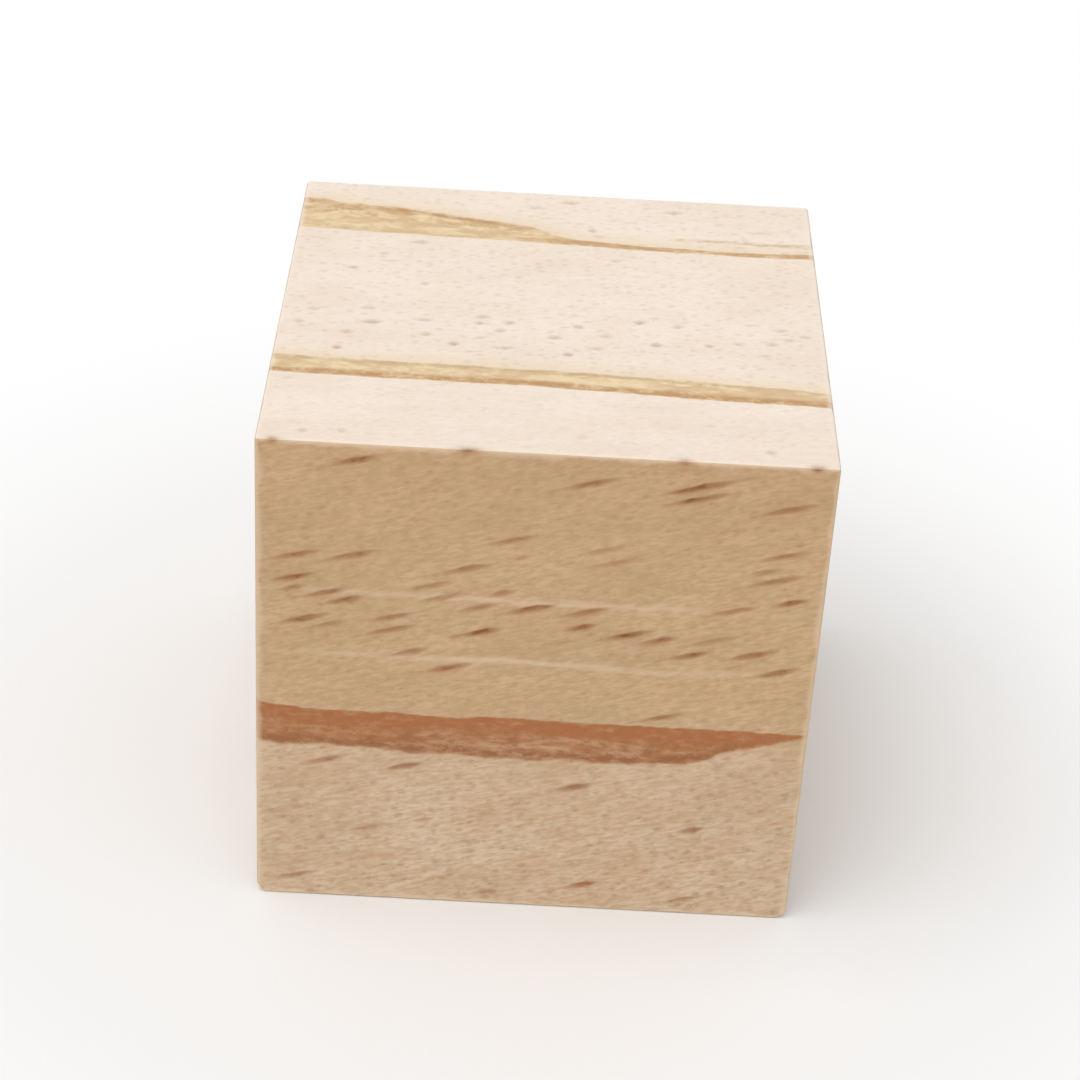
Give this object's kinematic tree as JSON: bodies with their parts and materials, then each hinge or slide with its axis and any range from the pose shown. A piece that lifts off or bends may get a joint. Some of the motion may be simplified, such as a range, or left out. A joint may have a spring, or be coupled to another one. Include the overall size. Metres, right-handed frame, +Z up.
{
  "type": "wooden cube",
  "caption": "Plain pine cube with sanded edges, a building and craft block or a small bench riser.",
  "frame": {"origin": "middle of the face that the cube stands on", "axes": "+Z up out of the top face; +X along the grain, from one cross-cut end to the other; -Y out of the front face"},
  "size_m": [0.05, 0.05, 0.05],
  "materials": {
    "pine": "bare planed and sanded softwood, no oil or varnish, matt"
  },
  "bodies": {
    "root": {"wooden_cube": "pine"}
  },
  "joints": []
}
